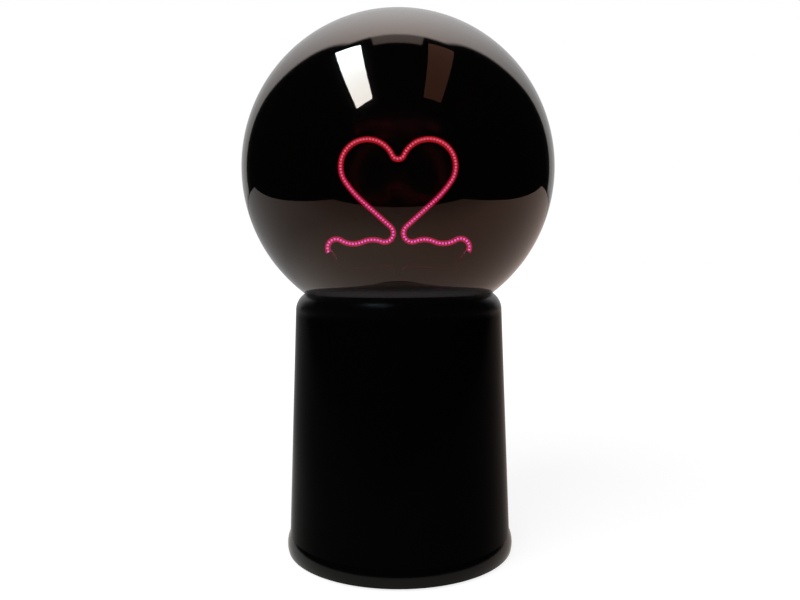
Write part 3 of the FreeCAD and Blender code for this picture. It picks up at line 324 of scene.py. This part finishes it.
def circuit_board():
    """Green solder mask over a grid of tracks."""
    material, shader, wire = new_material("circuit_board")
    place = on_object(wire)
    track = place.part(0).math("PINGPONG", place.part(0), 0.9 * MM).step(0.5 * MM, 0.6 * MM)
    cloud = place.noise(300.0, 2.0)
    plug(shader, {
        "Base Color": track.blend(solid_colour(0.012, 0.085, 0.035), solid_colour(0.03, 0.17, 0.07)),
        "Roughness": cloud.spread(0.28, 0.42),
        "Normal": wire.bump(track, 0.00003, 0.6),
    })
    return material


def glow_between_heights(name, low, high, strength):
    """Lit silicone whose colour goes from its low end to its high end of the sign."""
    material, shader, wire = new_material(name)
    place = on_object(wire)
    height = place.part(2).step(SIGN_LOW.z, SIGN_HIGH.z)
    haze = place.noise(900.0, 2.0)
    plug(shader, {
        "Base Color": height.blend(low, high),
        "Roughness": haze.spread(0.35, 0.5),
        "Emission Color": height.blend(low, high),
        "Emission Strength": strength,
    })
    return material


# Modelling
def start_edit(piece):
    """Only this piece selected, and in edit mode."""
    bpy.ops.object.select_all(action="DESELECT")
    piece.select_set(True)
    bpy.context.view_layer.objects.active = piece
    bpy.ops.object.mode_set(mode="EDIT")


def finish_piece(piece, name, body, material, nodes):
    """Name a finished piece, dress it, say what it rides on, and hide the nodes it stands for."""
    piece.name = name
    piece.data.name = name
    piece.data.materials.clear()
    piece.data.materials.append(material)
    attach(piece, body)
    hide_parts(*nodes)
    return piece


def globe_envelope():
    """The glass: a half outline, spun round, given its wall."""
    bpy.ops.object.select_all(action="DESELECT")
    bpy.ops.mesh.primitive_plane_add(size=GLOBE_RADIUS, location=(0, 0, 0))
    piece = bpy.context.active_object
    start_edit(piece)
    bpy.ops.mesh.select_all(action="SELECT")
    bpy.ops.mesh.merge(type="CENTER")
    bpy.ops.transform.translate(value=(0, 0, GLASS_HIGH.z))
    sweep = math.pi - math.atan2(NECK_RADIUS + NECK_ROUND, NECK_DROP)
    bpy.ops.mesh.spin(steps=GLOBE_STEPS, angle=-sweep, center=(0, 0, GLOBE_CENTRE), axis=(0, 1, 0))
    neck_turn = math.pi / 2 - math.atan2(NECK_RADIUS + NECK_ROUND, NECK_DROP)
    neck_centre = (NECK_RADIUS + NECK_ROUND, 0, GLASS_LOW.z)
    bpy.ops.mesh.spin(steps=NECK_STEPS, angle=neck_turn, center=neck_centre, axis=(0, 1, 0))
    bpy.ops.mesh.select_all(action="SELECT")
    bpy.ops.mesh.spin(steps=TURN_STEPS, angle=2 * math.pi, center=(0, 0, 0), axis=(0, 0, 1))
    bpy.ops.mesh.select_all(action="SELECT")
    bpy.ops.mesh.remove_doubles(threshold=0.00001)
    bpy.ops.mesh.normals_make_consistent(inside=False)
    bpy.ops.object.mode_set(mode="OBJECT")
    wall = piece.modifiers.new("wall", "SOLIDIFY")
    wall.thickness = GLASS_WALL
    wall.offset = -1.0
    bpy.ops.object.modifier_apply(modifier=wall.name)
    bpy.ops.object.shade_smooth()
    return finish_piece(piece, "globe_envelope", "bulb", smoked_glass(), ["globe_glass"])


def arc_points(place, heading, radius, turn):
    """Points along an arc that goes on from a heading in degrees, its end and its new heading."""
    aside = math.radians(heading + math.copysign(90, turn))
    centre = place + Vector((math.cos(aside), 0, math.sin(aside))) * radius
    count = max(3, round(math.radians(abs(turn)) * radius / LINE_STEP))
    points = []
    for step in range(1, count + 1):
        swing = Matrix.Rotation(-math.radians(turn) * step / count, 3, "Y")
        points.append(centre + swing @ (place - centre))
    return points, points[-1], heading + turn


def heart_half():
    """Points of the right half of the line, from the cleft to the end of its tail."""
    place = Vector((0, 0, 0))
    heading = 0.0
    points = [place]
    for radius, turn in (SIGN_CLEFT, SIGN_LOBE, SIGN_SIDE):
        more, place, heading = arc_points(place, heading, radius, turn)
        points += more
    slope = math.radians(heading)
    flare = SIGN_FLARE[0]
    inside = FILAMENT_RADIUS + STRAND_GAP / 2
    run = (inside + flare + flare * math.sin(slope) - place.x) / math.cos(slope)
    count = round(run / LINE_STEP)
    ahead = Vector((math.cos(slope), 0, math.sin(slope)))
    points += [place + ahead * run * step / count for step in range(1, count + 1)]
    place = points[-1]
    for radius, turn in (SIGN_FLARE, *SIGN_WAVES, SIGN_CURL):
        more, place, heading = arc_points(place, heading, radius, turn)
        points += more
    return points


def heart_line():
    """Points of the whole line from the left end to the right end, at the sign's height."""
    half = heart_half()
    left = [Vector((-point.x, 0, point.z)) for point in reversed(half[1:])]
    heights = [point.z for point in half]
    lift = Vector((0, 0, GLOBE_CENTRE - SIGN_DROP - (max(heights) + min(heights)) / 2))
    return [point + lift for point in left + half]


def filament_coating(points):
    """The silicone tube along the line."""
    curve = bpy.data.curves.new("filament_path", "CURVE")
    curve.dimensions = "3D"
    spline = curve.splines.new("POLY")
    spline.points.add(len(points) - 1)
    for spot, point in zip(spline.points, points):
        spot.co = (*point, 1.0)
    curve.bevel_depth = FILAMENT_RADIUS
    curve.bevel_resolution = COATING_SIDES // 4
    curve.use_fill_caps = True
    piece = bpy.data.objects.new("filament_coating", curve)
    bpy.context.collection.objects.link(piece)
    bpy.ops.object.select_all(action="DESELECT")
    piece.select_set(True)
    bpy.context.view_layer.objects.active = piece
    bpy.ops.object.convert(target="MESH")
    bpy.ops.object.shade_smooth()
    material = glow_between_heights("lit_coating", solid_colour(0.55, 0.008, 0.060),
                                    solid_colour(0.50, 0.009, 0.014), COATING_GLOW)
    return finish_piece(piece, "filament_coating", "bulb", material, ["led_filament"])


def places_along(points, pitch):
    """Evenly spaced places along the points, each with its direction."""
    places = []
    travelled = pitch / 2
    for first, second in zip(points, points[1:]):
        length = (second - first).length
        while travelled <= length:
            places.append((first + (second - first) * travelled / length, (second - first).normalized()))
            travelled += pitch
        travelled -= length
    return places


def filament_chips(points):
    """The lit chips: one small bead, copied along the front and the back of the line."""
    bpy.ops.object.select_all(action="DESELECT")
    bpy.ops.mesh.primitive_uv_sphere_add(segments=8, ring_count=5, radius=CHIP_RADIUS)
    bead = bpy.context.active_object
    start_edit(bead)
    bpy.ops.mesh.select_all(action="SELECT")
    bpy.ops.transform.resize(value=CHIP_SHAPE)
    bpy.ops.object.mode_set(mode="OBJECT")
    bpy.ops.object.shade_smooth()
    places = [(place + Vector((0, side * CHIP_SEAT, 0)), ahead)
              for side in (-1, 1) for place, ahead in places_along(points, CHIP_PITCH)]
    copies = [bead]
    for place, ahead in places[1:]:
        copy = bead.copy()
        copy.data = bead.data.copy()
        bpy.context.collection.objects.link(copy)
        copies.append(copy)
    bpy.ops.object.select_all(action="DESELECT")
    for copy, (place, ahead) in zip(copies, places):
        turn = Vector((1, 0, 0)).rotation_difference(ahead).to_matrix().to_4x4()
        copy.data.transform(Matrix.Translation(place) @ turn)
        copy.select_set(True)
    bpy.context.view_layer.objects.active = bead
    bpy.ops.object.join()
    material = glow_between_heights("lit_chips", solid_colour(0.90, 0.16, 0.72),
                                    solid_colour(0.90, 0.15, 0.26), CHIP_GLOW)
    return finish_piece(bead, "filament_chips", "bulb", material, ["led_filament"])


def dress_nodes():
    """A material for every CAD node that stays."""
    along_x = (0.06, 1.0, 1.0)
    along_z = (1.0, 1.0, 0.06)
    every_way = (1.0, 1.0, 1.0)
    finishes = [
        (satin_black("satin_black_housing", HOUSING_INDEX), ["base_housing"]),
        (satin_black("satin_black_plate", PLATE_INDEX), ["base_plate"]),
        (moulded("black_fitting", solid_colour(0.004, 0.004, 0.004), solid_colour(0.007, 0.007, 0.007),
                 0.36, 2200.0, 1.24), ["switch_body", "cord_bush", "bush_nut", "holder_cap", "holder_body"]),
        (moulded("rocker_black", solid_colour(0.006, 0.006, 0.006), solid_colour(0.010, 0.010, 0.010),
                 0.30, 2800.0, 1.30), ["switch_rocker"]),
        (moulded("foot_rubber", solid_colour(0.018, 0.018, 0.018), solid_colour(0.032, 0.032, 0.031),
                 0.72, 1500.0), ["rubber_feet"]),
        (plain_metal("zinc_plate", solid_colour(0.52, 0.52, 0.50), solid_colour(0.68, 0.68, 0.66),
                     0.34, along_x),
         ["plate_screws", "ballast_screws", "bracket_screws", "terminal_screws", "connector_screws",
          "holder_bracket", "nipple_nut"]),
        (plain_metal("bare_steel", solid_colour(0.36, 0.36, 0.36), solid_colour(0.50, 0.50, 0.51),
                     0.42, along_x), ["ballast"]),
        (plain_metal("plain_brass", solid_colour(0.62, 0.44, 0.19), solid_colour(0.80, 0.61, 0.30),
                     0.30, along_z),
         ["bracket_nipple", "thread_sleeve", "centre_contact", "contact_rivets", "holder_terminals",
          "switch_terminals", "connector_barrel", "bulb_contact"]),
        (moulded("white_insulator", solid_colour(0.74, 0.73, 0.68), solid_colour(0.82, 0.81, 0.77),
                 0.45, 1800.0), ["holder_insert", "connector_block"]),
        (moulded("brown_insulation", solid_colour(0.14, 0.055, 0.025), solid_colour(0.20, 0.085, 0.04),
                 0.38, 1600.0), ["live_lead"]),
        (moulded("blue_insulation", solid_colour(0.03, 0.11, 0.36), solid_colour(0.05, 0.16, 0.48),
                 0.38, 1600.0), ["neutral_lead"]),
        (clear_glass(), ["bulb_stem"]),
        (plain_metal("formed_aluminium", solid_colour(0.66, 0.66, 0.66), solid_colour(0.80, 0.80, 0.80),
                     0.30, (1.0, 1.0, 8.0)), ["bulb_cap"]),
        (moulded("black_glass_insulator", solid_colour(0.008, 0.008, 0.010),
                 solid_colour(0.016, 0.016, 0.020), 0.14, 900.0), ["bulb_insulator"]),
        (circuit_board(), ["driver_board"]),
        (moulded("component_black", solid_colour(0.03, 0.03, 0.034), solid_colour(0.05, 0.05, 0.056),
                 0.42, 2500.0), ["driver_parts"]),
        (plain_metal("nickel_wire", solid_colour(0.56, 0.54, 0.50), solid_colour(0.72, 0.70, 0.66),
                     0.26, every_way), ["stem_leads", "support_wires", "filament_ferrules"]),
    ]
    for material, names in finishes:
        for name in names:
            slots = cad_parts[name].data.materials
            slots.clear()
            slots.append(material)


# Studio
def table_top():
    """A pale table top: white to the camera, with painted light and shade when mirrored, clear from below.
    """
    bpy.ops.object.select_all(action="DESELECT")
    bpy.ops.mesh.primitive_circle_add(vertices=len(TABLE_CORNERS), fill_type="NGON")
    table = bpy.context.active_object
    table.name = "table_top"
    for vertex, corner in zip(table.data.vertices, TABLE_CORNERS):
        vertex.co = (*corner, -TABLE_GAP)
    material, shader, wire = new_material("pale_table")
    place = on_object(wire)
    distance = wire.add("ShaderNodeVectorMath", {"operation": "LENGTH"}, {0: place}, "Value")
    direct = wire.add("ShaderNodeLightPath", None, None, "Is Camera Ray")
    mirrored = wire.add("ShaderNodeLightPath", None, None, "Is Glossy Ray")
    below = wire.add("ShaderNodeNewGeometry", None, None, "Backfacing")
    shown = distance.step(0.2, 0.6).blend(solid_colour(*SHOWN_NEAR), solid_colour(*SHOWN_FAR))
    # Painted light and shade in reflections: brighter near the lamp, warm light on the right, shade towards
    # the front
    left_side = distance.step(0.11, 0.28).blend(solid_colour(*MIRRORED_NEAR), solid_colour(*MIRRORED_FAR))
    both_sides = place.part(0).step(-0.05, 0.12).blend(left_side, solid_colour(*MIRRORED_WARM_LIGHT))
    painted_light_and_shade = place.part(1).step(-0.30, -0.12).blend(solid_colour(*MIRRORED_FRONT_SHADE), both_sides)
    reflected = mirrored.blend(solid_colour(*UNSEEN), painted_light_and_shade)
    plug(shader, {
        "Base Color": solid_colour(*TABLE_TONE),
        "Roughness": 0.9,
        "Specular IOR Level": 0.1,
        "Emission Color": direct.blend(reflected, shown),
        "Emission Strength": 1.0,
        "Alpha": 1 - below,
    })
    table.data.materials.append(material)


def studio_world():
    """White behind the lamp; a bright sweep behind and above it in reflections; soft fill elsewhere."""
    world = bpy.data.worlds.new("studio")
    bpy.context.scene.world = world
    world.use_nodes = True
    tree = world.node_tree
    wire = Wire(tree)
    toward = wire.add("ShaderNodeTexCoord", None, None, "Generated")
    aside = toward.part(0).math("ABSOLUTE", toward.part(0))
    height = toward.part(2)
    above = height.math("MAXIMUM", height - TAPER_START, 0.0)
    taper = SWEEP_TAPER * height.math("POWER", above, 2.0)
    sweep = (SWEEP_HALF_WIDTH - taper - aside).step(-0.02, 0.02) * toward.part(1).step(0.13, 0.19)
    glow = SWEEP_GLOW + OVERHEAD_GLOW * height.math("POWER", height.math("MAXIMUM", height, 0.0), 3.0)
    overhead = (BEAM_HALF_WIDTH - aside).step(-0.01, 0.01) * toward.part(1).step(-0.02, 0.02)
    beam = overhead * (1 - sweep) * BEAM_GLOW
    mirrored = ROOM_GLOW + height.step(-0.03, 0.02) * (sweep * glow + beam)
    glossy = wire.add("ShaderNodeLightPath", None, None, "Is Glossy Ray")
    direct = wire.add("ShaderNodeLightPath", None, None, "Is Camera Ray")
    through = wire.add("ShaderNodeLightPath", None, None, "Is Transmission Ray")
    plain = direct.math("MAXIMUM", direct, through)
    strength = plain + (1 - plain) * (glossy * mirrored + (1 - glossy) * FILL_LIGHT)
    background = tree.nodes["Background"]
    background.inputs["Color"].default_value = solid_colour(1, 1, 1)
    tree.links.new(strength.socket, background.inputs["Strength"])


def area_light(name, middle, across, along, radiance, colour):
    """A light panel, by its middle and its two sides, that the camera doesn't see."""
    across = Vector(across)
    along = Vector(along)
    shining = across.cross(along).normalized()
    sideways = along.cross(shining).normalized()
    lamp = bpy.data.lights.new(name, "AREA")
    lamp.shape = "RECTANGLE"
    lamp.size = across.length
    lamp.size_y = along.length
    lamp.energy = radiance * math.pi * across.length * along.length
    lamp.color = colour
    light = bpy.data.objects.new(name, lamp)
    bpy.context.collection.objects.link(light)
    turn = Matrix((sideways, -along.normalized(), -shining)).transposed()
    light.matrix_world = Matrix.Translation(middle) @ turn.to_4x4()
    light.visible_camera = False
    return light


def studio_lights(mirror):
    """A soft light for colours, and two strips that only the mirror's reflections show."""
    soft = area_light("soft_light", *SOFT_LIGHT)
    soft.visible_glossy = False
    mirrors = bpy.data.collections.new("strip_mirrors")
    mirrors.objects.link(mirror)
    for strip in (area_light("left_strip", *LEFT_STRIP), area_light("right_strip", *RIGHT_STRIP)):
        strip.visible_diffuse = False
        strip.light_linking.receiver_collection = mirrors


def photo_camera():
    """The camera at the photograph's angle."""
    lens = bpy.data.cameras.new("photo_camera")
    lens.lens = CAMERA_LENS
    lens.sensor_width = CAMERA_SENSOR
    camera = bpy.data.objects.new("photo_camera", lens)
    camera.location = CAMERA_PLACE
    camera.rotation_euler = (math.pi / 2 - CAMERA_PITCH, CAMERA_ROLL, 0)
    bpy.context.collection.objects.link(camera)
    bpy.context.scene.camera = camera


photo_camera()
studio_world()
table_top()
dress_nodes()
studio_lights(globe_envelope())
SIGN_POINTS = heart_line()
filament_coating(SIGN_POINTS)
filament_chips(SIGN_POINTS)

bpy.context.scene.view_settings.view_transform = "Standard"
